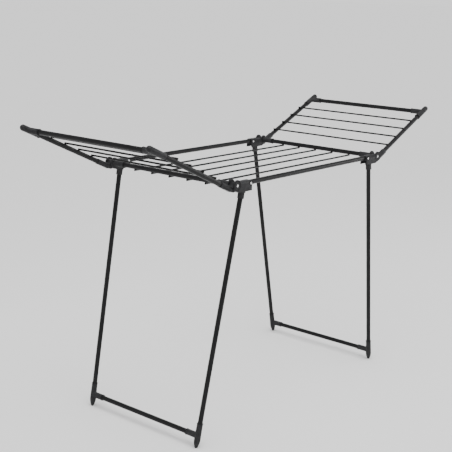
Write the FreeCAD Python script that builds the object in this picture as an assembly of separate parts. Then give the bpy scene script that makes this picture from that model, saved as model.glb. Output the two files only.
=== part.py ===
import FreeCAD, Part
import math
import os

# Folding winged clothes airer, free standing, shown open.
# Millimetres. +X runs along the airer from wing to wing, -Y is its front, +Z is up.
# The origin is on the floor, at the middle of the airer.

V = FreeCAD.Vector
X_AXIS, Y_AXIS, Z_AXIS = V(1, 0, 0), V(0, 1, 0), V(0, 0, 1)

# ---- driving dimensions -------------------------------------------------------------

TUBE_RADIUS = 8.5            # every steel tube: rails, cross tubes, arms, legs, foot bars
TUBE_WALL = 1.0
WIRE_RADIUS = 3.3            # drying rods and wing wires, solid steel
COLLAR_RADIUS = 10.6         # round moulded sleeves that grip the tubes

RAIL_Z = 892.0               # side rail axis above the floor
RAIL_Y = 280.0               # side rail axis from the middle
RAIL_END_X = 426.0           # a rail ends inside its hinge blocks
RAIL_RIVET_X = 374.0

ROD_COUNT = 5
ROD_PITCH = 81.0
ROD_END_X = 450.0

WING_PIVOT_X = 446.0         # on the axis of the cross tube, at rail height
WING_RAISE = 24.0            # degrees above level when the wing is open
WING_REACH = 402.5           # pivot to outer tube, along the arm
ARM_DROP = 18.0              # the arm lies this far below its pivot, so that it folds over the rail
WIRE_COUNT = 4
WIRE_FIRST = 103.0           # pivot to the nearest wire, along the arm
WIRE_PITCH = 67.0
WIRE_HEIGHT = TUBE_RADIUS + WIRE_RADIUS - ARM_DROP    # wires lie on top of the arms

LEG_PIVOT = V(403.67, -RAIL_Y, RAIL_Z - 19.6)    # front right leg
LEG_FOOT = V(567.0, -252.0, 0.0)
FOOT_BAR_Z = 42.0

CHANNEL_HALF = 10.5          # half the gap between the cheeks of a hinge block
CHEEK = 5.0                  # thickness of each cheek and ear
TONGUE_HALF = 10.0           # half the thickness of what turns between the cheeks
EAR_RADIUS = 19.0
PIN_RADIUS = 3.0
RAIL_RIVET_RADIUS = 2.0
HEAD_RADIUS = 4.4            # domed rivet heads
HEAD_HEIGHT = 1.7
RUNNING_GAP = 0.06           # radial clearance of a turning eye on its pin

BLOCK_HALF = CHANNEL_HALF + CHEEK
BLOCK_BOTTOM = -24.5         # from the rail axis
BLOCK_TOP = 9.5
PAST = 5.0                   # how far a cutting shape runs beyond the face that it opens
LEG_SPLAY = math.degrees(math.atan2(LEG_FOOT.x - LEG_PIVOT.x, LEG_PIVOT.z - LEG_FOOT.z))


# ---- shapes that several pieces share -------------------------------------------------

def bar(start, end, radius=WIRE_RADIUS):
    """A solid round bar from one point to another."""
    return Part.makeCylinder(radius, start.distanceToPoint(end), start, end - start)


def tube(start, end):
    """A steel tube from one point to another."""
    return bar(start, end, TUBE_RADIUS).cut(bar(start, end, TUBE_RADIUS - TUBE_WALL))


def disc(x, z, radius, y_from, y_to):
    """A round plate that lies across Y."""
    return Part.makeCylinder(radius, y_to - y_from, V(x, y_from, z), Y_AXIS)


def prism(outline, y_from, y_to):
    """An XZ outline carried across from one Y to another."""
    corners = [V(x, y_from, z) for x, z in outline]
    face = Part.Face(Part.makePolygon(corners + corners[:1]))
    return face.extrude(V(0, y_to - y_from, 0))


def rounded(shape, radius, wanted):
    """The shape with its wanted edges rounded."""
    return shape.makeFillet(radius, [edge for edge in shape.Edges if wanted(edge)])


def is_rim(edge):
    return edge.Curve.TypeId == "Part::GeomCircle"


def runs_along_x(edge):
    return edge.BoundBox.XLength > 1.0


def runs_along_z(edge):
    return edge.BoundBox.ZLength > 1.0


def rivet_head(x, y, z, radius, height, outward):
    """A domed head that stands on a face across Y; outward is +1 or -1."""
    ball_radius = (radius ** 2 + height ** 2) / (2 * height)
    ball = Part.makeSphere(ball_radius, V(x, y + outward * (height - ball_radius), z))
    slab = disc(x, z, radius, min(y, y + outward * height), max(y, y + outward * height))
    return ball.common(slab)


def at_corner(shape, side, face):
    """A front right piece, carried to the left (side -1) or to the back (face +1)."""
    if side < 0:
        shape = shape.mirror(V(0, 0, 0), X_AXIS)
    if face > 0:
        shape = shape.mirror(V(0, 0, 0), Y_AXIS)
    return shape


# ---- hinge block: joins a rail, a cross tube, a wing and a leg ------------------------
# Its X is the airer's own, and its Y and Z are measured from the rail axis.

BODY_START_X, BODY_END_X = 366.0, 433.0
BODY_TOP_ROUND = 7.5
BODY_END_ROUND = 3.0
EAR_ROUND = 1.6
COLLAR_ROUND = 1.2
CROSS_COLLAR_END_Y = 65.0    # from the rail axis towards the middle
CROSS_TUBE_END_Y = 20.0
PIN_TIP_Y = 16.5             # blind end of the wing pin, inside the cross tube's collar
LEG_PIN_HALF = 13.5          # the leg pin is blind at both ends
HEAD_HALF = 9.5              # half the width of a leg head
PIVOT_DROP = LEG_PIVOT.z - RAIL_Z
STOP_GAP = 0.3               # between the parts that rest on each other when open
LEG_GAP_TOP = PIVOT_DROP + HEAD_HALF + STOP_GAP

# A wing's knuckle has a round eye and a round heel, and the flat flank that joins them rests
# on the stop when the wing is open. Both are measured from the pivot, with the wing level.
EYE_RADIUS = 11.0
HEEL_X, HEEL_Z, HEEL_RADIUS = 7.0, -15.5, 9.8
FLANK_FACING = (math.atan2(HEEL_Z, HEEL_X) - math.pi / 2
                + math.asin((EYE_RADIUS - HEEL_RADIUS) / math.hypot(HEEL_X, HEEL_Z)))


def flank(raised, gap):
    """Both ends of the flank as (x, z) from the pivot; raised in degrees, gap outside it."""
    turn = math.radians(raised)
    out = V(math.cos(FLANK_FACING + turn), math.sin(FLANK_FACING + turn), 0)
    heel = V(HEEL_X * math.cos(turn) - HEEL_Z * math.sin(turn),
             HEEL_X * math.sin(turn) + HEEL_Z * math.cos(turn), 0)
    top = out * (EYE_RADIUS + gap)
    bottom = heel + out * (HEEL_RADIUS + gap)
    return [(top.x, top.y), (bottom.x, bottom.y)]


# Outlines of the web under the ears, and of the gap that the knuckle turns in.
EAR_WEB = [(BODY_END_X - 3, BLOCK_BOTTOM), (BODY_END_X - 3, 0), (WING_PIVOT_X, 0),
           (450.0, -18.5), (441.0, -21.5), (434.5, BLOCK_BOTTOM)]
WING_GAP = ([(BODY_END_X, -5.0)]
            + [(WING_PIVOT_X + x, z) for x, z in flank(WING_RAISE, STOP_GAP)]
            + [(455.0, -30.0), (480.0, -30.0), (480.0, 30.0), (429.0, 30.0),
               (429.0, BLOCK_TOP), (BODY_END_X, BLOCK_TOP - 3.5)])


def leg_wall_x(z):
    """Face that an open leg rests on, parallel to the leg."""
    axis_x = LEG_PIVOT.x + (PIVOT_DROP - z) * math.tan(math.radians(LEG_SPLAY))
    return axis_x + (HEAD_HALF + STOP_GAP / 2) / math.cos(math.radians(LEG_SPLAY))


def hinge_block():
    body = Part.makeBox(BODY_END_X - BODY_START_X, 2 * BLOCK_HALF, BLOCK_TOP - BLOCK_BOTTOM,
                        V(BODY_START_X, -BLOCK_HALF, BLOCK_BOTTOM))
    body = rounded(body, BODY_TOP_ROUND,
                   lambda e: runs_along_x(e) and e.BoundBox.ZMin > BLOCK_TOP - 0.1)
    body = rounded(body, BODY_END_ROUND,
                   lambda e: runs_along_z(e) and e.BoundBox.XMax < BODY_START_X + 0.1
                   and e.BoundBox.ZMin < BLOCK_BOTTOM + 0.1)
    ears = disc(WING_PIVOT_X, 0, EAR_RADIUS, -BLOCK_HALF, BLOCK_HALF)
    ears = rounded(ears, EAR_ROUND, is_rim)
    web = prism(EAR_WEB, -BLOCK_HALF, BLOCK_HALF)
    collar = Part.makeCylinder(COLLAR_RADIUS, CROSS_COLLAR_END_Y - BLOCK_HALF + 1,
                               V(WING_PIVOT_X, BLOCK_HALF - 1, 0), Y_AXIS)
    collar = rounded(collar, COLLAR_ROUND,
                     lambda e: is_rim(e) and e.BoundBox.YMin > CROSS_COLLAR_END_Y - 1)
    block = body.fuse([ears, web, collar])

    wing_gap = prism(WING_GAP, -CHANNEL_HALF, CHANNEL_HALF)
    below = BLOCK_BOTTOM - PAST
    leg_gap = prism([(BODY_START_X - PAST, LEG_GAP_TOP), (leg_wall_x(LEG_GAP_TOP), LEG_GAP_TOP),
                     (leg_wall_x(below), below), (BODY_START_X - PAST, below)],
                    -CHANNEL_HALF, CHANNEL_HALF)
    rail_bore = bar(V(BODY_START_X - PAST, 0, 0), V(RAIL_END_X, 0, 0), TUBE_RADIUS)
    cross_bore = bar(V(WING_PIVOT_X, CROSS_TUBE_END_Y, 0),
                     V(WING_PIVOT_X, CROSS_COLLAR_END_Y + PAST, 0), TUBE_RADIUS)
    wing_pin_hole = disc(WING_PIVOT_X, 0, PIN_RADIUS, -BLOCK_HALF - PAST, PIN_TIP_Y)
    leg_pin_hole = disc(LEG_PIVOT.x, PIVOT_DROP, PIN_RADIUS, -LEG_PIN_HALF, LEG_PIN_HALF)
    rivet_hole = disc(RAIL_RIVET_X, 0, RAIL_RIVET_RADIUS, -BLOCK_HALF - PAST, BLOCK_HALF + PAST)
    block = block.cut([wing_gap, leg_gap, rail_bore, cross_bore,
                       wing_pin_hole, leg_pin_hole, rivet_hole])
    block.translate(V(0, -RAIL_Y, RAIL_Z))
    return block


# ---- pins and rivets --------------------------------------------------------------

def wing_pin():
    """Riveted pin that a wing turns on, with its domed head on the outer ear."""
    shank = disc(WING_PIVOT_X, 0, PIN_RADIUS, -BLOCK_HALF, PIN_TIP_Y)
    head = rivet_head(WING_PIVOT_X, -BLOCK_HALF, 0, HEAD_RADIUS, HEAD_HEIGHT, -1)
    pin = shank.fuse(head)
    pin.translate(V(0, -RAIL_Y, RAIL_Z))
    return pin


def leg_pin():
    """Blind steel pin that a leg turns on, moulded into both cheeks."""
    pin = disc(LEG_PIVOT.x, PIVOT_DROP, PIN_RADIUS, -LEG_PIN_HALF, LEG_PIN_HALF)
    pin.translate(V(0, -RAIL_Y, RAIL_Z))
    return pin


def rail_rivet():
    """Rivet through both cheeks and the rail, headed on both faces."""
    shank = disc(RAIL_RIVET_X, 0, RAIL_RIVET_RADIUS, -BLOCK_HALF, BLOCK_HALF)
    heads = [rivet_head(RAIL_RIVET_X, face * BLOCK_HALF, 0, HEAD_RADIUS, HEAD_HEIGHT, face)
             for face in (-1, 1)]
    rivet = shank.fuse(heads)
    rivet.translate(V(0, -RAIL_Y, RAIL_Z))
    return rivet


# ---- centre frame -------------------------------------------------------------------

def side_rail():
    """Front rail, drilled for its two rivets."""
    rail = tube(V(-RAIL_END_X, -RAIL_Y, RAIL_Z), V(RAIL_END_X, -RAIL_Y, RAIL_Z))
    reach = TUBE_RADIUS + PAST
    holes = [bar(V(side * RAIL_RIVET_X, -RAIL_Y - reach, RAIL_Z),
                 V(side * RAIL_RIVET_X, -RAIL_Y + reach, RAIL_Z), RAIL_RIVET_RADIUS)
             for side in (-1, 1)]
    return rail.cut(holes)


def cross_tube():
    """Right cross tube, between the collars of two hinge blocks."""
    half = RAIL_Y - CROSS_TUBE_END_Y
    return tube(V(WING_PIVOT_X, -half, RAIL_Z), V(WING_PIVOT_X, half, RAIL_Z))


def drying_rod(number):
    """One of the centre rods, welded under both cross tubes."""
    y = (number - (ROD_COUNT - 1) / 2) * ROD_PITCH
    z = RAIL_Z - TUBE_RADIUS - WIRE_RADIUS
    return bar(V(-ROD_END_X, y, z), V(ROD_END_X, y, z))


# ---- wing ---------------------------------------------------------------------------
# A wing is drawn level, with X along its arms from the pivot, then raised.

ARM_START = 30.0             # end of the arm's tube inside its knuckle
TUBE_END_GAP = 14.0          # a tube that ends in a corner stops this far from the other's axis
ARM_END = WING_REACH - TUBE_END_GAP
WIRE_END_Y = RAIL_Y + 3.0    # a wire is cut off just past the crown of the arm
KNUCKLE_LENGTH = 72.0
KNUCKLE_HALF = 9.3           # half the depth of the knuckle's sleeve
KNUCKLE_ROUND = 6.5
SLEEVE_START = 14.0
CORNER_ARM_LENGTH = 45.0     # corner moulding, back along the arm
CORNER_TIP = 39.5            # and beyond the outer tube
CORNER_BAR_LENGTH = 50.0     # and along the outer tube


def raise_wing(shape):
    shape.rotate(V(0, 0, 0), Y_AXIS, -WING_RAISE)
    shape.translate(V(WING_PIVOT_X, 0, RAIL_Z))
    return shape


def wing_wire(number):
    """One wire, welded across the tops of both arms."""
    x = WIRE_FIRST + number * WIRE_PITCH
    return raise_wing(bar(V(x, -WIRE_END_Y, WIRE_HEIGHT), V(x, WIRE_END_Y, WIRE_HEIGHT)))


def wing_arm():
    return raise_wing(tube(V(ARM_START, -RAIL_Y, -ARM_DROP), V(ARM_END, -RAIL_Y, -ARM_DROP)))


def wing_outer_tube():
    half = RAIL_Y - TUBE_END_GAP
    return raise_wing(tube(V(WING_REACH, -half, -ARM_DROP), V(WING_REACH, half, -ARM_DROP)))


def wing_knuckle():
    """Moulded end of an arm: a sleeve, a heel that stops the wing, and the pivot eye."""
    sleeve = Part.makeBox(KNUCKLE_LENGTH - SLEEVE_START, 2 * TONGUE_HALF, 2 * KNUCKLE_HALF,
                          V(SLEEVE_START, -TONGUE_HALF, -ARM_DROP - KNUCKLE_HALF))
    sleeve = rounded(sleeve, KNUCKLE_ROUND, runs_along_x)
    eye = disc(0, 0, EYE_RADIUS, -TONGUE_HALF, TONGUE_HALF)
    heel = disc(HEEL_X, HEEL_Z, HEEL_RADIUS, -TONGUE_HALF, TONGUE_HALF)
    web = prism(flank(0, 0) + [(22.0, -ARM_DROP - KNUCKLE_HALF + 1.0),
                               (SLEEVE_START, -ARM_DROP + KNUCKLE_HALF), (EYE_RADIUS, 0)],
                -TONGUE_HALF, TONGUE_HALF)
    knuckle = sleeve.fuse([eye, heel, web])
    arm_bore = bar(V(ARM_START, 0, -ARM_DROP), V(KNUCKLE_LENGTH + PAST, 0, -ARM_DROP),
                   TUBE_RADIUS)
    pin_hole = disc(0, 0, PIN_RADIUS + RUNNING_GAP, -TONGUE_HALF - 1, TONGUE_HALF + 1)
    knuckle = knuckle.cut([arm_bore, pin_hole])
    knuckle.translate(V(0, -RAIL_Y, 0))
    return raise_wing(knuckle)


def wing_corner():
    """Moulded corner that joins an arm to the outer tube, with a rounded tip."""
    tip_centre = V(WING_REACH + CORNER_TIP - COLLAR_RADIUS, -RAIL_Y, -ARM_DROP)
    arm_side = bar(V(WING_REACH - CORNER_ARM_LENGTH, -RAIL_Y, -ARM_DROP), tip_centre, COLLAR_RADIUS)
    bar_side = bar(V(WING_REACH, -RAIL_Y, -ARM_DROP),
                   V(WING_REACH, -RAIL_Y + CORNER_BAR_LENGTH, -ARM_DROP), COLLAR_RADIUS)
    tip = Part.makeSphere(COLLAR_RADIUS, tip_centre)
    arm_bore = bar(V(WING_REACH - CORNER_ARM_LENGTH - PAST, -RAIL_Y, -ARM_DROP),
                   V(ARM_END, -RAIL_Y, -ARM_DROP), TUBE_RADIUS)
    bar_bore = bar(V(WING_REACH, -RAIL_Y + TUBE_END_GAP, -ARM_DROP),
                   V(WING_REACH, -RAIL_Y + CORNER_BAR_LENGTH + PAST, -ARM_DROP), TUBE_RADIUS)
    return raise_wing(arm_side.fuse([bar_side, tip]).cut([arm_bore, bar_bore]))


# ---- leg frame ----------------------------------------------------------------------

LEG_UP = (LEG_PIVOT - LEG_FOOT).normalize()
LEG_LENGTH = LEG_PIVOT.distanceToPoint(LEG_FOOT)
LEG_TUBE_TOP = 12.0          # from the pivot, down the leg
HEAD_LENGTH = 30.0           # leg head, pivot to the end of its socket
LEG_HEAD_ROUND = 6.0
LEG_TUBE_BOTTOM = 56.0       # from the floor, up the leg
FOOT_HEIGHT = 86.0
FOOT_COLLAR_LENGTH = 50.0
# Half outline of the foot, as radius and height along the leg: a bullet nose, then the sleeve.
NOSE = [V(3.2, 0, -1.5), V(8.7, 0, 12.0), V(11.2, 0, 30.0)]
SLEEVE = [NOSE[-1], V(10.6, 0, 62.0), V(10.2, 0, FOOT_HEIGHT), V(0, 0, FOOT_HEIGHT),
          V(0, 0, NOSE[0].z), NOSE[0]]
BAR_X = LEG_FOOT.x + LEG_UP.x / LEG_UP.z * FOOT_BAR_Z
BAR_Y = LEG_FOOT.y + LEG_UP.y / LEG_UP.z * FOOT_BAR_Z


def leg_tube():
    return tube(LEG_FOOT + LEG_UP * LEG_TUBE_BOTTOM, LEG_PIVOT - LEG_UP * LEG_TUBE_TOP)


def leg_head():
    """Moulded top of a leg, which turns between the cheeks of a hinge block."""
    socket = Part.makeBox(2 * HEAD_HALF, 2 * TONGUE_HALF, HEAD_LENGTH - 4,
                          V(-HEAD_HALF, -TONGUE_HALF, -HEAD_LENGTH))
    socket = rounded(socket, LEG_HEAD_ROUND, runs_along_z)
    eye = disc(0, 0, HEAD_HALF, -TONGUE_HALF, TONGUE_HALF)
    neck = Part.makeBox(2 * HEAD_HALF, 2 * TONGUE_HALF, HEAD_HALF,
                        V(-HEAD_HALF, -TONGUE_HALF, -HEAD_HALF))
    head = socket.fuse([eye, neck])
    head.rotate(V(0, 0, 0), Y_AXIS, -LEG_SPLAY)
    head.translate(LEG_PIVOT)
    bore = bar(LEG_PIVOT - LEG_UP * (HEAD_LENGTH + PAST), LEG_PIVOT - LEG_UP * LEG_TUBE_TOP,
               TUBE_RADIUS)
    pin_hole = disc(LEG_PIVOT.x, LEG_PIVOT.z, PIN_RADIUS + RUNNING_GAP,
                    -RAIL_Y - TONGUE_HALF - 1, -RAIL_Y + TONGUE_HALF + 1)
    return head.cut([bore, pin_hole])


def foot_bar():
    half = abs(BAR_Y) - TUBE_END_GAP
    return tube(V(BAR_X, -half, FOOT_BAR_Z), V(BAR_X, half, FOOT_BAR_Z))


def foot():
    """Moulded foot: a sleeve on the leg, a sleeve on the foot bar, and a bullet-shaped toe."""
    outline = Part.Wire([Part.Arc(*NOSE).toShape()] + Part.makePolygon(SLEEVE).Edges)
    sleeve = Part.Face(outline).revolve(V(0, 0, 0), Z_AXIS, 360)
    sleeve.Placement = FreeCAD.Placement(LEG_FOOT, FreeCAD.Rotation(Z_AXIS, LEG_UP))
    bar_centre = V(BAR_X, BAR_Y, FOOT_BAR_Z)
    bar_side = bar(bar_centre, bar_centre + Y_AXIS * FOOT_COLLAR_LENGTH, COLLAR_RADIUS)
    below_floor = Part.makeBox(60, 60, 20, LEG_FOOT - V(30, 30, 20))
    leg_bore = bar(LEG_FOOT + LEG_UP * LEG_TUBE_BOTTOM, LEG_FOOT + LEG_UP * (FOOT_HEIGHT + PAST),
                   TUBE_RADIUS)
    bar_bore = bar(bar_centre + Y_AXIS * TUBE_END_GAP,
                   bar_centre + Y_AXIS * (FOOT_COLLAR_LENGTH + PAST), TUBE_RADIUS)
    return sleeve.fuse(bar_side).cut([below_floor, leg_bore, bar_bore])


# ---- every node --------------------------------------------------------------------

SIDES = {"left": -1, "right": 1}
FACES = {"front": -1, "back": 1}

nodes = {}
for face_name, face in FACES.items():
    nodes[face_name + "_side_rail"] = at_corner(side_rail(), 1, face)
for number in range(ROD_COUNT):
    nodes["drying_rod_%d" % (number + 1)] = drying_rod(number)
nodes["rail_rivets"] = Part.makeCompound(
    [at_corner(rail_rivet(), side, face) for side in SIDES.values() for face in FACES.values()])

for side_name, side in SIDES.items():
    nodes[side_name + "_cross_tube"] = at_corner(cross_tube(), side, -1)
    for piece, make in (("wing_pins", wing_pin), ("leg_pins", leg_pin)):
        nodes[side_name + "_" + piece] = Part.makeCompound(
            [at_corner(make(), side, face) for face in FACES.values()])
    nodes[side_name + "_wing_outer_tube"] = at_corner(wing_outer_tube(), side, -1)
    for number in range(WIRE_COUNT):
        nodes["%s_wing_wire_%d" % (side_name, number + 1)] = at_corner(
            wing_wire(number), side, -1)
    nodes[side_name + "_foot_bar"] = at_corner(foot_bar(), side, -1)
    for face_name, face in FACES.items():
        for piece, make in (("hinge_block", hinge_block), ("wing_arm", wing_arm),
                            ("wing_knuckle", wing_knuckle), ("wing_corner", wing_corner),
                            ("leg_head", leg_head), ("leg_tube", leg_tube), ("foot", foot)):
            nodes["%s_%s_%s" % (side_name, face_name, piece)] = at_corner(make(), side, face)

os.makedirs("parts", exist_ok=True)
for name, shape in nodes.items():
    shape.exportStep("parts/%s.step" % name)
print("%d nodes" % len(nodes))
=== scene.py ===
import math

import bmesh
import bpy
from mathutils import Matrix, Vector
from mathutils.bvhtree import BVHTree


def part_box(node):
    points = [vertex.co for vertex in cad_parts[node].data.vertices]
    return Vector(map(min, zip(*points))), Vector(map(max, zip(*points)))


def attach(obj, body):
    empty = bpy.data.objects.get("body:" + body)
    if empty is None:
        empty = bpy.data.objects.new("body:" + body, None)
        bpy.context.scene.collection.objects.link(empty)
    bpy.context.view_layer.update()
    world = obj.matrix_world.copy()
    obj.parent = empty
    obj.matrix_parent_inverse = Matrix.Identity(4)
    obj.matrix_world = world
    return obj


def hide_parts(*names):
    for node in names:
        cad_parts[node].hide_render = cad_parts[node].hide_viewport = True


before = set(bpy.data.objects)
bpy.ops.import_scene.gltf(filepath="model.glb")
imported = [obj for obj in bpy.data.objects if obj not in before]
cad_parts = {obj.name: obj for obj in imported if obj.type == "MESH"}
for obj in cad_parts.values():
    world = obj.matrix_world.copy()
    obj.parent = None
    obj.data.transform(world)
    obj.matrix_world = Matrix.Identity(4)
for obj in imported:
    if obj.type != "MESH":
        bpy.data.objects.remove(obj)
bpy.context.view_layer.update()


# ---- Steel tubes -------------------------------------------------------------------------
# Rails, cross tubes, wing arms, outer bars, legs and foot bars are 17 mm welded steel tube.
# Each is cut to length and dipped in one coat of satin black polyester powder, whose cured
# skin has a faint orange peel and, after some use, soft rubbed streaks.

def satin_powder_coat(name, peel_scale, depth_of_black):
    coat = bpy.data.materials.new(name)
    coat.use_nodes = True
    nodes, links = coat.node_tree.nodes, coat.node_tree.links
    surface = nodes["Principled BSDF"]
    surface.inputs["IOR"].default_value = 1.5
    surface.inputs["Specular IOR Level"].default_value = 0.15
    place = nodes.new("ShaderNodeTexCoord")

    depth = nodes.new("ShaderNodeTexNoise")
    depth.inputs["Scale"].default_value = 14.0
    depth.inputs["Detail"].default_value = 4.0
    depth.inputs["Roughness"].default_value = 0.6
    pigment = nodes.new("ShaderNodeValToRGB")
    pigment.color_ramp.elements[0].position = 0.3
    pigment.color_ramp.elements[0].color = [tone * depth_of_black
                                            for tone in (0.0065, 0.0065, 0.007)] + [1]
    pigment.color_ramp.elements[1].position = 0.72
    pigment.color_ramp.elements[1].color = [tone * depth_of_black
                                            for tone in (0.0125, 0.0125, 0.0132)] + [1]
    links.new(place.outputs["Object"], depth.inputs["Vector"])
    links.new(depth.outputs["Fac"], pigment.inputs["Fac"])

    # Soft streaks where laundry and hands have rubbed the coat a little duller.
    stretch = nodes.new("ShaderNodeMapping")
    stretch.inputs["Scale"].default_value = (0.35, 0.35, 0.35)
    streaks = nodes.new("ShaderNodeTexNoise")
    streaks.inputs["Scale"].default_value = 260.0
    streaks.inputs["Detail"].default_value = 6.0
    streaks.inputs["Distortion"].default_value = 1.4
    worn = nodes.new("ShaderNodeMapRange")
    worn.inputs["From Min"].default_value = 0.35
    worn.inputs["From Max"].default_value = 0.75
    worn.inputs["To Min"].default_value = 0.30
    worn.inputs["To Max"].default_value = 0.47
    links.new(place.outputs["Object"], stretch.inputs["Vector"])
    links.new(stretch.outputs["Vector"], streaks.inputs["Vector"])
    links.new(streaks.outputs["Fac"], worn.inputs["Value"])
    links.new(worn.outputs["Result"], surface.inputs["Roughness"])

    rubbed = nodes.new("ShaderNodeMix")
    rubbed.data_type = "RGBA"
    rubbed.inputs["B"].default_value = (0.022, 0.022, 0.023, 1)
    share = nodes.new("ShaderNodeMapRange")
    share.inputs["From Min"].default_value = 0.62
    share.inputs["From Max"].default_value = 0.8
    share.inputs["To Max"].default_value = 0.22
    links.new(streaks.outputs["Fac"], share.inputs["Value"])
    links.new(share.outputs["Result"], rubbed.inputs["Factor"])
    links.new(pigment.outputs["Color"], rubbed.inputs["A"])
    links.new(rubbed.outputs["Result"], surface.inputs["Base Color"])

    peel = nodes.new("ShaderNodeTexNoise")
    peel.inputs["Scale"].default_value = peel_scale
    peel.inputs["Detail"].default_value = 2.0
    skin = nodes.new("ShaderNodeBump")
    skin.inputs["Strength"].default_value = 0.35
    skin.inputs["Distance"].default_value = 0.0001
    links.new(place.outputs["Object"], peel.inputs["Vector"])
    links.new(peel.outputs["Fac"], skin.inputs["Height"])
    links.new(skin.outputs["Normal"], surface.inputs["Normal"])
    return coat


tube_coat = satin_powder_coat("satin_black_powder_coat", 620.0, 1.0)
TUBES = ["front_side_rail", "back_side_rail"]
for side in ("left", "right"):
    TUBES += [side + "_cross_tube", side + "_wing_outer_tube", side + "_foot_bar"]
    for face in ("front", "back"):
        TUBES += [f"{side}_{face}_wing_arm", f"{side}_{face}_leg_tube"]
for name in TUBES:
    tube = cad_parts[name]
    for slot in tube.material_slots:
        slot.material = tube_coat


# ---- Drying rods and wing wires ------------------------------------------------------------
# 6.6 mm drawn steel wire, sheared to length and resistance welded: five long rods under the
# two cross tubes, and four short wires across the tops of each wing's arms. A small flattened
# nugget of weld is left at every crossing, and the whole is powder coated afterwards.

def socket(tree, name, kind, value=None):
    made = tree.interface.new_socket(name, in_out="INPUT", socket_type=kind)
    if value is not None:
        made.default_value = value


def welded_bars_tree():
    tree = bpy.data.node_groups.new("welded_bars", "GeometryNodeTree")
    tree.is_modifier = True
    tree.interface.new_socket("Geometry", in_out="INPUT", socket_type="NodeSocketGeometry")
    socket(tree, "Count", "NodeSocketInt", 4)
    socket(tree, "First Middle", "NodeSocketVector")
    socket(tree, "Step", "NodeSocketVector")
    socket(tree, "Half Length", "NodeSocketVector")
    socket(tree, "Radius", "NodeSocketFloat", 0.0033)
    socket(tree, "Weld Offset", "NodeSocketVector")
    socket(tree, "Towards Tube", "NodeSocketVector")
    socket(tree, "Weld Size", "NodeSocketVector")
    socket(tree, "Seed", "NodeSocketInt", 3)
    socket(tree, "Coat", "NodeSocketMaterial")
    tree.interface.new_socket("Geometry", in_out="OUTPUT", socket_type="NodeSocketGeometry")
    nodes, links = tree.nodes, tree.links
    given = nodes.new("NodeGroupInput")
    made = nodes.new("NodeGroupOutput")

    row = nodes.new("GeometryNodeMeshLine")
    links.new(given.outputs["Count"], row.inputs["Count"])
    links.new(given.outputs["First Middle"], row.inputs["Start Location"])
    links.new(given.outputs["Step"], row.inputs["Offset"])

    back = nodes.new("ShaderNodeVectorMath")
    back.operation = "SCALE"
    back.inputs["Scale"].default_value = -1.0
    links.new(given.outputs["Half Length"], back.inputs[0])
    run = nodes.new("GeometryNodeCurvePrimitiveLine")
    links.new(back.outputs["Vector"], run.inputs["Start"])
    links.new(given.outputs["Half Length"], run.inputs["End"])
    section = nodes.new("GeometryNodeCurvePrimitiveCircle")
    section.inputs["Resolution"].default_value = 20
    links.new(given.outputs["Radius"], section.inputs["Radius"])
    bar = nodes.new("GeometryNodeCurveToMesh")
    bar.inputs["Fill Caps"].default_value = True
    links.new(run.outputs["Curve"], bar.inputs["Curve"])
    links.new(section.outputs["Curve"], bar.inputs["Profile Curve"])
    bars = nodes.new("GeometryNodeInstanceOnPoints")
    links.new(row.outputs["Mesh"], bars.inputs["Points"])
    links.new(bar.outputs["Mesh"], bars.inputs["Instance"])

    # One nugget shape, with the lumps of a real weld, set at both crossings of every bar.
    nugget = nodes.new("GeometryNodeMeshIcoSphere")
    nugget.inputs["Radius"].default_value = 1.0
    nugget.inputs["Subdivisions"].default_value = 3
    lumps = nodes.new("ShaderNodeTexNoise")
    lumps.inputs["Scale"].default_value = 1.9
    outward = nodes.new("GeometryNodeInputNormal")
    height = nodes.new("ShaderNodeMath")
    height.operation = "MULTIPLY_ADD"
    height.inputs[1].default_value = 0.5
    height.inputs[2].default_value = -0.25
    push = nodes.new("ShaderNodeVectorMath")
    push.operation = "SCALE"
    lumpy = nodes.new("GeometryNodeSetPosition")
    links.new(lumps.outputs["Fac"], height.inputs[0])
    links.new(outward.outputs["Normal"], push.inputs[0])
    links.new(height.outputs["Value"], push.inputs["Scale"])
    links.new(nugget.outputs["Mesh"], lumpy.inputs["Geometry"])
    links.new(push.outputs["Vector"], lumpy.inputs["Offset"])

    joined = nodes.new("GeometryNodeJoinGeometry")
    links.new(bars.outputs["Instances"], joined.inputs["Geometry"])
    for end in (1.0, -1.0):
        along = nodes.new("ShaderNodeVectorMath")
        along.operation = "SCALE"
        along.inputs["Scale"].default_value = end
        touch = nodes.new("ShaderNodeVectorMath")
        touch.operation = "ADD"
        links.new(given.outputs["Weld Offset"], along.inputs[0])
        links.new(along.outputs["Vector"], touch.inputs[0])
        links.new(given.outputs["Towards Tube"], touch.inputs[1])
        spots = nodes.new("GeometryNodeSetPosition")
        links.new(row.outputs["Mesh"], spots.inputs["Geometry"])
        links.new(touch.outputs["Vector"], spots.inputs["Offset"])
        vary = nodes.new("FunctionNodeRandomValue")
        vary.data_type = "FLOAT_VECTOR"
        vary.inputs[0].default_value = (0.85, 0.85, 0.85)
        vary.inputs[1].default_value = (1.15, 1.15, 1.15)
        links.new(given.outputs["Seed"], vary.inputs["Seed"])
        size = nodes.new("ShaderNodeVectorMath")
        size.operation = "MULTIPLY"
        links.new(vary.outputs[0], size.inputs[0])
        links.new(given.outputs["Weld Size"], size.inputs[1])
        welds = nodes.new("GeometryNodeInstanceOnPoints")
        links.new(spots.outputs["Geometry"], welds.inputs["Points"])
        links.new(lumpy.outputs["Geometry"], welds.inputs["Instance"])
        links.new(size.outputs["Vector"], welds.inputs["Scale"])
        links.new(welds.outputs["Instances"], joined.inputs["Geometry"])

    real = nodes.new("GeometryNodeRealizeInstances")
    coated = nodes.new("GeometryNodeSetMaterial")
    links.new(joined.outputs["Geometry"], real.inputs["Geometry"])
    links.new(real.outputs["Geometry"], coated.inputs["Geometry"])
    links.new(given.outputs["Coat"], coated.inputs["Material"])
    links.new(coated.outputs["Geometry"], made.inputs["Geometry"])
    return tree


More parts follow.
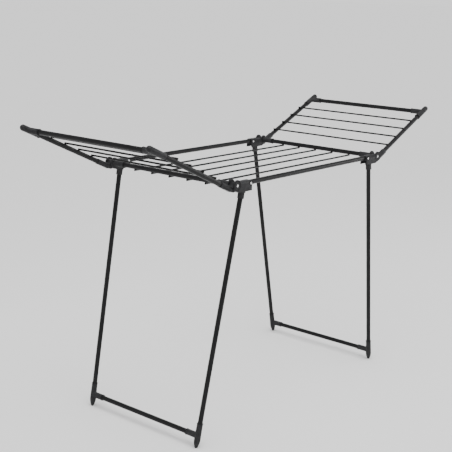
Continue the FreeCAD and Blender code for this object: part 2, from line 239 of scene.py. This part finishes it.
def grown(name, tree, base, **sizes):
    """The plain mesh that a tree makes from a base mesh, shaded smooth up to sharp edges."""
    piece = bpy.data.objects.new(name, base)
    bpy.context.scene.collection.objects.link(piece)
    grow = piece.modifiers.new("grow", "NODES")
    grow.node_group = tree
    for item in tree.interface.items_tree:
        if item.in_out == "INPUT" and item.name.replace(" ", "_") in sizes:
            grow[item.identifier] = sizes[item.name.replace(" ", "_")]
    view = bpy.context.evaluated_depsgraph_get()
    plain = bpy.data.meshes.new_from_object(piece.evaluated_get(view), depsgraph=view)
    piece.modifiers.remove(grow)
    piece.data = plain
    plain.shade_smooth()
    plain.set_sharp_from_angle(angle=math.radians(40))
    return piece


WIRE_RADIUS = 0.0033
ROD_WELD = Vector((0.0042, 0.0044, 0.0017))
WIRE_WELD = Vector((0.0044, 0.0036, 0.0018))
WELD_INSET = 0.0005
wire_coat = satin_powder_coat("satin_black_wire_coat", 900.0, 0.55)
welded_bars = welded_bars_tree()


def middle(node):
    low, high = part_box(node)
    return (low + high) / 2


ROD_NODES = [f"drying_rod_{number}" for number in range(1, 6)]
rod_low, rod_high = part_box(ROD_NODES[0])
rod_end = Vector(((rod_high.x - rod_low.x) / 2, 0, 0))
rods = grown(
    "centre_rods", welded_bars, bpy.data.meshes.new("centre_rods"),
    Count=len(ROD_NODES), First_Middle=middle(ROD_NODES[0]),
    Step=middle(ROD_NODES[1]) - middle(ROD_NODES[0]), Half_Length=rod_end, Radius=WIRE_RADIUS,
    Weld_Offset=Vector((middle("right_cross_tube").x, 0, 0)),
    Towards_Tube=Vector((0, 0, WIRE_RADIUS)), Weld_Size=ROD_WELD,
    Seed=11, Coat=wire_coat)
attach(rods, "frame")
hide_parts(*ROD_NODES)

for side, tilt in (("left", -1), ("right", 1)):
    wire_nodes = [f"{side}_wing_wire_{number}" for number in range(1, 5)]
    low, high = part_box(wire_nodes[0])
    step = middle(wire_nodes[1]) - middle(wire_nodes[0])
    under = Vector((step.z, 0, -step.x)).normalized() * tilt * WIRE_RADIUS
    wires = grown(
        side + "_wing_wires", welded_bars, bpy.data.meshes.new(side + "_wing_wires"),
        Count=4, First_Middle=middle(wire_nodes[0]), Step=step,
        Half_Length=Vector((0, (high.y - low.y) / 2, 0)), Radius=WIRE_RADIUS,
        Weld_Offset=Vector((0, middle(f"{side}_back_wing_arm").y - WELD_INSET, 0)),
        Towards_Tube=under, Weld_Size=WIRE_WELD, Seed=23, Coat=wire_coat)
    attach(wires, side + "_wing")
    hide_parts(*wire_nodes)


# ---- Moulded hinge blocks, knuckles, corners, leg heads and feet -----------------------------
# Glass-filled black polypropylene, injection moulded and pressed onto the tube ends. The
# tools are spark-eroded, which leaves a fine matt grain, and every edge has a small radius
# that handling soon rubs a little brighter than the faces.

def grained_plastic():
    plastic = bpy.data.materials.new("grained_black_moulding")
    plastic.use_nodes = True
    nodes, links = plastic.node_tree.nodes, plastic.node_tree.links
    surface = nodes["Principled BSDF"]
    surface.inputs["IOR"].default_value = 1.49
    surface.inputs["Specular IOR Level"].default_value = 0.14
    place = nodes.new("ShaderNodeTexCoord")

    flow = nodes.new("ShaderNodeTexNoise")
    flow.inputs["Scale"].default_value = 45.0
    flow.inputs["Detail"].default_value = 5.0
    flow.inputs["Distortion"].default_value = 0.8
    body = nodes.new("ShaderNodeValToRGB")
    body.color_ramp.elements[0].position = 0.3
    body.color_ramp.elements[0].color = (0.0060, 0.0060, 0.0066, 1)
    body.color_ramp.elements[1].position = 0.75
    body.color_ramp.elements[1].color = (0.0110, 0.0110, 0.0117, 1)
    links.new(place.outputs["Object"], flow.inputs["Vector"])
    links.new(flow.outputs["Fac"], body.inputs["Fac"])

    edges = nodes.new("ShaderNodeAttribute")
    edges.attribute_name = "rubbed_edge"
    patchy = nodes.new("ShaderNodeTexNoise")
    patchy.inputs["Scale"].default_value = 130.0
    patchy.inputs["Detail"].default_value = 3.0
    rub = nodes.new("ShaderNodeMath")
    rub.operation = "MULTIPLY"
    links.new(place.outputs["Object"], patchy.inputs["Vector"])
    links.new(edges.outputs["Fac"], rub.inputs[0])
    links.new(patchy.outputs["Fac"], rub.inputs[1])
    colour = nodes.new("ShaderNodeMix")
    colour.data_type = "RGBA"
    colour.inputs["B"].default_value = (0.035, 0.035, 0.037, 1)
    links.new(rub.outputs["Value"], colour.inputs["Factor"])
    links.new(body.outputs["Color"], colour.inputs["A"])
    links.new(colour.outputs["Result"], surface.inputs["Base Color"])
    gloss = nodes.new("ShaderNodeMapRange")
    gloss.inputs["To Min"].default_value = 0.56
    gloss.inputs["To Max"].default_value = 0.36
    links.new(rub.outputs["Value"], gloss.inputs["Value"])
    links.new(gloss.outputs["Result"], surface.inputs["Roughness"])

    pits = nodes.new("ShaderNodeTexVoronoi")
    pits.inputs["Scale"].default_value = 1500.0
    grain = nodes.new("ShaderNodeBump")
    grain.inputs["Strength"].default_value = 0.3
    grain.inputs["Distance"].default_value = 0.00008
    links.new(place.outputs["Object"], pits.inputs["Vector"])
    links.new(pits.outputs["Distance"], grain.inputs["Height"])
    links.new(grain.outputs["Normal"], surface.inputs["Normal"])
    return plastic


def moulding(node, body, edge_radius):
    """A copy of a moulding's CAD mesh with its edges rounded over and marked as rubbed."""
    shape = bmesh.new()
    shape.from_mesh(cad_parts[node].data)
    bmesh.ops.remove_doubles(shape, verts=shape.verts, dist=0.00002)
    bmesh.ops.dissolve_limit(shape, angle_limit=math.radians(0.8), verts=shape.verts,
                             edges=shape.edges)
    drawn = BVHTree.FromBMesh(shape)
    sharp = [edge for edge in shape.edges if edge.is_manifold and edge.is_convex
             and edge.calc_face_angle() > math.radians(32)]
    rounds = bmesh.ops.bevel(shape, geom=sharp, offset=edge_radius, offset_type="OFFSET",
                             segments=2, profile=0.6, affect="EDGES", clamp_overlap=False)
    # Where several edges crowd together the rounding can overshoot: it is brought back.
    overshoot = 0.6 * edge_radius
    for point in shape.verts:
        nearest, _, _, away = drawn.find_nearest(point.co)
        if away > overshoot:
            point.co = nearest
        point.co.z = max(point.co.z, 0.0)
    rubbed = shape.loops.layers.float_color.new("rubbed_edge")
    for face in rounds["faces"]:
        for corner in face.loops:
            corner[rubbed] = (1, 1, 1, 1)
    mesh = bpy.data.meshes.new("moulded_" + node)
    shape.to_mesh(mesh)
    shape.free()
    mesh.shade_smooth()
    mesh.set_sharp_from_angle(angle=math.radians(38))
    mesh.materials.append(plastic)
    piece = bpy.data.objects.new("moulded_" + node, mesh)
    bpy.context.scene.collection.objects.link(piece)
    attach(piece, body)
    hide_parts(node)


plastic = grained_plastic()
for side in ("left", "right"):
    for face in ("front", "back"):
        for part, body, edge_radius in (
                ("hinge_block", "frame", 0.0006),
                ("wing_knuckle", side + "_wing", 0.0007),
                ("wing_corner", side + "_wing", 0.0006),
                ("leg_head", side + "_legs", 0.0006),
                ("foot", side + "_legs", 0.0005)):
            moulding(f"{side}_{face}_{part}", body, edge_radius)


# ---- Rivets and pins ---------------------------------------------------------------------
# Zinc-plated steel rivets: one through each rail end, headed on both cheeks, and one at each
# wing pivot. The low domed heads are spun over, which leaves a dimple and fine rings.

def plated_steel():
    plate = bpy.data.materials.new("bright_zinc_plate")
    plate.use_nodes = True
    nodes, links = plate.node_tree.nodes, plate.node_tree.links
    surface = nodes["Principled BSDF"]
    surface.inputs["Metallic"].default_value = 1.0
    place = nodes.new("ShaderNodeTexCoord")
    bloom = nodes.new("ShaderNodeTexNoise")
    bloom.inputs["Scale"].default_value = 420.0
    bloom.inputs["Detail"].default_value = 4.0
    tint = nodes.new("ShaderNodeValToRGB")
    tint.color_ramp.elements[0].color = (0.62, 0.62, 0.63, 1)
    tint.color_ramp.elements[1].color = (0.86, 0.86, 0.85, 1)
    polish = nodes.new("ShaderNodeMapRange")
    polish.inputs["To Min"].default_value = 0.22
    polish.inputs["To Max"].default_value = 0.42
    dents = nodes.new("ShaderNodeBump")
    dents.inputs["Strength"].default_value = 0.2
    dents.inputs["Distance"].default_value = 0.0001
    links.new(place.outputs["Object"], bloom.inputs["Vector"])
    links.new(bloom.outputs["Fac"], tint.inputs["Fac"])
    links.new(tint.outputs["Color"], surface.inputs["Base Color"])
    links.new(bloom.outputs["Fac"], polish.inputs["Value"])
    links.new(polish.outputs["Result"], surface.inputs["Roughness"])
    links.new(bloom.outputs["Fac"], dents.inputs["Height"])
    links.new(dents.outputs["Normal"], surface.inputs["Normal"])
    return plate


def rivet_tree():
    tree = bpy.data.node_groups.new("rivets", "GeometryNodeTree")
    tree.is_modifier = True
    tree.interface.new_socket("Geometry", in_out="INPUT", socket_type="NodeSocketGeometry")
    socket(tree, "Head Radius", "NodeSocketFloat", 0.0044)
    socket(tree, "Head Height", "NodeSocketFloat", 0.0017)
    socket(tree, "Dimple", "NodeSocketFloat", 0.3)
    socket(tree, "Plate", "NodeSocketMaterial")
    tree.interface.new_socket("Geometry", in_out="OUTPUT", socket_type="NodeSocketGeometry")
    nodes, links = tree.nodes, tree.links
    given = nodes.new("NodeGroupInput")
    made = nodes.new("NodeGroupOutput")

    # A ball of radius 1, flattened below, dimpled on top, then brought to the head's size.
    ball = nodes.new("GeometryNodeMeshUVSphere")
    ball.inputs["Segments"].default_value = 32
    ball.inputs["Rings"].default_value = 24
    ball.inputs["Radius"].default_value = 1.0
    spot = nodes.new("GeometryNodeInputPosition")
    parts = nodes.new("ShaderNodeSeparateXYZ")
    flat = nodes.new("ShaderNodeMath")
    flat.operation = "MAXIMUM"
    flat.inputs[1].default_value = -0.02
    plan = nodes.new("ShaderNodeCombineXYZ")
    reach = nodes.new("ShaderNodeVectorMath")
    reach.operation = "LENGTH"
    hollow = nodes.new("ShaderNodeMapRange")
    hollow.interpolation_type = "SMOOTHSTEP"
    hollow.inputs["From Min"].default_value = 0.08
    hollow.inputs["From Max"].default_value = 0.42
    hollow.inputs["To Min"].default_value = 1.0
    hollow.inputs["To Max"].default_value = 0.0
    sink = nodes.new("ShaderNodeMath")
    sink.operation = "MULTIPLY"
    above = nodes.new("ShaderNodeMath")
    above.operation = "GREATER_THAN"
    above.inputs[1].default_value = 0.0
    gated = nodes.new("ShaderNodeMath")
    gated.operation = "MULTIPLY"
    level = nodes.new("ShaderNodeMath")
    level.operation = "SUBTRACT"
    tall = nodes.new("ShaderNodeMath")
    tall.operation = "MULTIPLY"
    wide_x = nodes.new("ShaderNodeMath")
    wide_x.operation = "MULTIPLY"
    wide_y = nodes.new("ShaderNodeMath")
    wide_y.operation = "MULTIPLY"
    shaped = nodes.new("ShaderNodeCombineXYZ")
    head = nodes.new("GeometryNodeSetPosition")
    links.new(spot.outputs["Position"], parts.inputs["Vector"])
    links.new(parts.outputs["Z"], flat.inputs[0])
    links.new(parts.outputs["X"], plan.inputs["X"])
    links.new(parts.outputs["Y"], plan.inputs["Y"])
    links.new(plan.outputs["Vector"], reach.inputs[0])
    links.new(reach.outputs["Value"], hollow.inputs["Value"])
    links.new(hollow.outputs["Result"], sink.inputs[0])
    links.new(given.outputs["Dimple"], sink.inputs[1])
    links.new(parts.outputs["Z"], above.inputs[0])
    links.new(sink.outputs["Value"], gated.inputs[0])
    links.new(above.outputs["Value"], gated.inputs[1])
    links.new(flat.outputs["Value"], level.inputs[0])
    links.new(gated.outputs["Value"], level.inputs[1])
    links.new(level.outputs["Value"], tall.inputs[0])
    links.new(given.outputs["Head Height"], tall.inputs[1])
    links.new(parts.outputs["X"], wide_x.inputs[0])
    links.new(given.outputs["Head Radius"], wide_x.inputs[1])
    links.new(parts.outputs["Y"], wide_y.inputs[0])
    links.new(given.outputs["Head Radius"], wide_y.inputs[1])
    links.new(wide_x.outputs["Value"], shaped.inputs["X"])
    links.new(wide_y.outputs["Value"], shaped.inputs["Y"])
    links.new(tall.outputs["Value"], shaped.inputs["Z"])
    links.new(ball.outputs["Mesh"], head.inputs["Geometry"])
    links.new(shaped.outputs["Vector"], head.inputs["Position"])

    axis = nodes.new("GeometryNodeInputNamedAttribute")
    axis.data_type = "FLOAT_VECTOR"
    axis.inputs["Name"].default_value = "outward"
    turn = nodes.new("FunctionNodeAlignRotationToVector")
    turn.axis = "Z"
    links.new(axis.outputs["Attribute"], turn.inputs["Vector"])
    heads = nodes.new("GeometryNodeInstanceOnPoints")
    links.new(given.outputs["Geometry"], heads.inputs["Points"])
    links.new(head.outputs["Geometry"], heads.inputs["Instance"])
    links.new(turn.outputs["Rotation"], heads.inputs["Rotation"])

    # The shank runs back from the head, as long and as thick as the point says.
    rod = nodes.new("GeometryNodeMeshCylinder")
    rod.inputs["Vertices"].default_value = 24
    rod.inputs["Radius"].default_value = 1.0
    rod.inputs["Depth"].default_value = 1.0
    lower = nodes.new("GeometryNodeTransform")
    lower.inputs["Translation"].default_value = (0, 0, -0.5)
    girth = nodes.new("GeometryNodeInputNamedAttribute")
    girth.data_type = "FLOAT_VECTOR"
    girth.inputs["Name"].default_value = "shank"
    shanks = nodes.new("GeometryNodeInstanceOnPoints")
    links.new(rod.outputs["Mesh"], lower.inputs["Geometry"])
    links.new(given.outputs["Geometry"], shanks.inputs["Points"])
    links.new(lower.outputs["Geometry"], shanks.inputs["Instance"])
    links.new(turn.outputs["Rotation"], shanks.inputs["Rotation"])
    links.new(girth.outputs["Attribute"], shanks.inputs["Scale"])

    joined = nodes.new("GeometryNodeJoinGeometry")
    real = nodes.new("GeometryNodeRealizeInstances")
    plated = nodes.new("GeometryNodeSetMaterial")
    links.new(heads.outputs["Instances"], joined.inputs["Geometry"])
    links.new(shanks.outputs["Instances"], joined.inputs["Geometry"])
    links.new(joined.outputs["Geometry"], real.inputs["Geometry"])
    links.new(real.outputs["Geometry"], plated.inputs["Geometry"])
    links.new(given.outputs["Plate"], plated.inputs["Material"])
    links.new(plated.outputs["Geometry"], made.inputs["Geometry"])
    return tree


def marked_points(name, places):
    """A mesh of loose points that carry vector attributes: [(position, {name: vector})]."""
    mesh = bpy.data.meshes.new(name)
    mesh.from_pydata([place for place, _ in places], [], [])
    for key in places[0][1]:
        values = mesh.attributes.new(key, "FLOAT_VECTOR", "POINT")
        for index, (_, facts) in enumerate(places):
            values.data[index].vector = facts[key]
    return mesh


HEAD_RADIUS, HEAD_HEIGHT = 0.0044, 0.0017
PIN_RADIUS, RAIL_RIVET_RADIUS = 0.003, 0.002
RAIL_SHANK = 0.0155
PIN_SINK = 0.001
zinc = plated_steel()
rivets_made = rivet_tree()
# A block's two cheeks lie equally far from the rail, one on each side of it.
_, rivets_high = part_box("rail_rivets")
cheek = rivets_high.y - HEAD_HEIGHT
inner_cheek = 2 * middle("back_side_rail").y - cheek
rail_x = rivets_high.x - HEAD_RADIUS
places = []
for side, turn in (("left", -1), ("right", 1)):
    pivot = middle(side + "_wing_pins")
    for face in (-1, 1):
        for x, y, outward, radius, length in (
                (pivot.x, cheek, face, PIN_RADIUS, cheek - inner_cheek + PIN_SINK),
                (turn * rail_x, cheek, face, RAIL_RIVET_RADIUS, RAIL_SHANK),
                (turn * rail_x, inner_cheek, -face, RAIL_RIVET_RADIUS, RAIL_SHANK)):
            places.append(((x, face * y, pivot.z),
                           {"outward": (0, outward, 0), "shank": (radius, radius, length)}))
rivets = grown("rivets", rivets_made, marked_points("rivets", places), Head_Radius=HEAD_RADIUS,
               Head_Height=HEAD_HEIGHT, Dimple=0.28, Plate=zinc)
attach(rivets, "frame")
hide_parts("rail_rivets", "left_wing_pins", "right_wing_pins")
for name in ("left_leg_pins", "right_leg_pins"):
    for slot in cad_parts[name].material_slots:
        slot.material = zinc


# ---- Rims and bosses of the mouldings -------------------------------------------------------
# Each round sleeve ends in a thicker rim, which keeps it from splitting as the tube is pressed
# in, and each riveted place stands inside a raised ring that takes the load of the head.

def ring_tree():
    tree = bpy.data.node_groups.new("moulded_rings", "GeometryNodeTree")
    tree.is_modifier = True
    tree.interface.new_socket("Geometry", in_out="INPUT", socket_type="NodeSocketGeometry")
    socket(tree, "Thickness", "NodeSocketFloat", 0.07)
    socket(tree, "Plastic", "NodeSocketMaterial")
    tree.interface.new_socket("Geometry", in_out="OUTPUT", socket_type="NodeSocketGeometry")
    nodes, links = tree.nodes, tree.links
    given = nodes.new("NodeGroupInput")
    made = nodes.new("NodeGroupOutput")
    hoop = nodes.new("GeometryNodeCurvePrimitiveCircle")
    hoop.inputs["Resolution"].default_value = 48
    hoop.inputs["Radius"].default_value = 1.0
    bead = nodes.new("GeometryNodeCurvePrimitiveCircle")
    bead.inputs["Resolution"].default_value = 12
    ring = nodes.new("GeometryNodeCurveToMesh")
    axis = nodes.new("GeometryNodeInputNamedAttribute")
    axis.data_type = "FLOAT_VECTOR"
    axis.inputs["Name"].default_value = "outward"
    size = nodes.new("GeometryNodeInputNamedAttribute")
    size.data_type = "FLOAT_VECTOR"
    size.inputs["Name"].default_value = "size"
    turn = nodes.new("FunctionNodeAlignRotationToVector")
    turn.axis = "Z"
    rings = nodes.new("GeometryNodeInstanceOnPoints")
    real = nodes.new("GeometryNodeRealizeInstances")
    moulded = nodes.new("GeometryNodeSetMaterial")
    links.new(given.outputs["Thickness"], bead.inputs["Radius"])
    links.new(hoop.outputs["Curve"], ring.inputs["Curve"])
    links.new(bead.outputs["Curve"], ring.inputs["Profile Curve"])
    links.new(given.outputs["Geometry"], rings.inputs["Points"])
    links.new(ring.outputs["Mesh"], rings.inputs["Instance"])
    links.new(axis.outputs["Attribute"], turn.inputs["Vector"])
    links.new(turn.outputs["Rotation"], rings.inputs["Rotation"])
    links.new(size.outputs["Attribute"], rings.inputs["Scale"])
    links.new(rings.outputs["Instances"], real.inputs["Geometry"])
    links.new(real.outputs["Geometry"], moulded.inputs["Geometry"])
    links.new(given.outputs["Plastic"], moulded.inputs["Material"])
    links.new(moulded.outputs["Geometry"], made.inputs["Geometry"])
    return tree


def tube_ends(node, towards):
    """Centres of a tube's two ends, the one that lies further towards the direction last."""
    direction = Vector(towards)
    points = [vertex.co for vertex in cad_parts[node].data.vertices]
    reach = [point.dot(direction) for point in points]
    halfway = (min(reach) + max(reach)) / 2
    centres = []
    for far in (False, True):
        end = [point for point, along in zip(points, reach) if (along > halfway) == far]
        centres.append(Vector([(min(point[i] for point in end) + max(point[i] for point in end)) / 2
                               for i in range(3)]))
    return centres


RIM = (0.0106, 0.0106, 0.020)
EAR_RING = (0.0150, 0.0150, 0.0135)
RIVET_RING = (0.0066, 0.0066, 0.0130)
RIM_INSET = 0.001
CORNER_MOUTH_TO_TUBE_END = 0.031
FOOT_MOUTH_TO_TUBE_END = 0.030



def mouth(node, way):
    """How far back a moulding's inner mouth lies, for a front (-1) or back (1) moulding."""
    low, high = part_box(node)
    return (high.y if way < 0 else low.y) + way * RIM_INSET


rings_made = ring_tree()
rings_on = {"frame": []}
for side, turn in (("left", -1), ("right", 1)):
    wing_rings, leg_rings = [], []
    outer = middle(side + "_wing_outer_tube")
    bar = middle(side + "_foot_bar")
    cross = middle(side + "_cross_tube")
    for face, way in (("front", -1), ("back", 1)):
        corner = f"{side}_{face}_"
        level_rim = {"outward": (0, way, 0), "size": RIM}
        rings_on["frame"] += [
            ((cross.x, mouth(corner + "hinge_block", way), cross.z), level_rim),
            ((cross.x, way * cheek, cross.z), {"outward": (0, way, 0), "size": EAR_RING}),
            ((turn * rail_x, way * cheek, cross.z), {"outward": (0, way, 0), "size": RIVET_RING})]
        near, far = tube_ends(corner + "wing_arm", (turn, 0, 0))
        arm = (far - near).normalized()
        wing_rings += [
            (far - arm * (CORNER_MOUTH_TO_TUBE_END - RIM_INSET), {"outward": arm, "size": RIM}),
            ((outer.x, mouth(corner + "wing_corner", way), outer.z), level_rim)]
        bottom, top = tube_ends(corner + "leg_tube", (0, 0, 1))
        leg = (top - bottom).normalized()
        leg_rings += [
            (bottom + leg * (FOOT_MOUTH_TO_TUBE_END - RIM_INSET), {"outward": leg, "size": RIM}),
            ((bar.x, mouth(corner + "foot", way), bar.z), level_rim)]
    rings_on[side + "_wing"] = wing_rings
    rings_on[side + "_legs"] = leg_rings
for body, places in rings_on.items():
    rings = grown(body + "_rims", rings_made, marked_points(body + "_rims", places),
                  Thickness=0.07, Plastic=plastic)
    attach(rings, body)


# ---- Floor, light and camera ------------------------------------------------------------
# A plain near-white studio floor with a bright, even surround, broad soft light from above
# and a weaker light from the front right.

floor_shape = bmesh.new()
bmesh.ops.create_circle(floor_shape, cap_ends=True, segments=64, radius=400)
floor_mesh = bpy.data.meshes.new("studio_floor")
floor_shape.to_mesh(floor_mesh)
floor_shape.free()
floor = bpy.data.objects.new("studio_floor", floor_mesh)
bpy.context.scene.collection.objects.link(floor)
paint = bpy.data.materials.new("studio_floor_paint")
paint.use_nodes = True
paint.node_tree.nodes["Principled BSDF"].inputs["Base Color"].default_value = (0.94, 0.94, 0.94, 1)
paint.node_tree.nodes["Principled BSDF"].inputs["Roughness"].default_value = 0.9
floor_mesh.materials.append(paint)

surround = bpy.data.worlds.new("studio_surround")
surround.use_nodes = True
facing = surround.node_tree.nodes.new("ShaderNodeTexCoord")
upness = surround.node_tree.nodes.new("ShaderNodeSeparateXYZ")
glow = surround.node_tree.nodes.new("ShaderNodeValToRGB")
glow.color_ramp.elements[0].position = 0.04
glow.color_ramp.elements[0].color = (1, 1, 1, 1)
glow.color_ramp.elements[1].position = 0.45
glow.color_ramp.elements[1].color = (0.42, 0.42, 0.42, 1)
for start, end in ((facing.outputs["Generated"], upness.inputs["Vector"]),
                   (upness.outputs["Z"], glow.inputs["Fac"]),
                   (glow.outputs["Color"], surround.node_tree.nodes["Background"].inputs["Color"])):
    surround.node_tree.links.new(start, end)
surround.node_tree.nodes["Background"].inputs["Strength"].default_value = 1.2
bpy.context.scene.world = surround

sky = bpy.data.lights.new("bounced_light", "SUN")
sky.energy = 2.3
sky.angle = math.radians(70)
bounce = bpy.data.objects.new("bounced_light", sky)
bounce.rotation_euler = (math.radians(8), math.radians(-6), 0)
bpy.context.scene.collection.objects.link(bounce)

LIT_SPOT = Vector((0, 0, 0.6))
for name, place, size, power in (("overhead_light", (-0.6, -0.6, 3.0), 1.5, 30),
                                 ("side_light", (3.4, -2.0, 1.5), 1.2, 22)):
    lamp = bpy.data.lights.new(name, "AREA")
    lamp.size = size
    lamp.energy = power
    holder = bpy.data.objects.new(name, lamp)
    bpy.context.scene.collection.objects.link(holder)
    holder.location = place
    holder.rotation_euler = (LIT_SPOT - Vector(place)).to_track_quat("-Z", "Y").to_euler()

# The view is from the front left, a little above the rails, with a slight lean.
EYE = Vector((-2.85219, -2.16024, 1.49150))
YAW, PITCH, ROLL = math.radians(-51.599), math.radians(-13.5518), math.radians(1.9916)
ahead = Vector((-math.sin(YAW) * math.cos(PITCH), math.cos(YAW) * math.cos(PITCH),
                math.sin(PITCH)))
level = Vector((math.cos(YAW), math.sin(YAW), 0))
upward = level.cross(ahead)
across = math.cos(ROLL) * level + math.sin(ROLL) * upward
upright = -math.sin(ROLL) * level + math.cos(ROLL) * upward
lens = bpy.data.cameras.new("view_camera")
lens.sensor_width = 36.0
lens.lens = 76.44
camera = bpy.data.objects.new("view_camera", lens)
camera.matrix_world = (Matrix.Translation(EYE)
                       @ Matrix((across, upright, -ahead)).transposed().to_4x4())
bpy.context.scene.collection.objects.link(camera)
bpy.context.scene.camera = camera

bpy.context.view_layer.update()
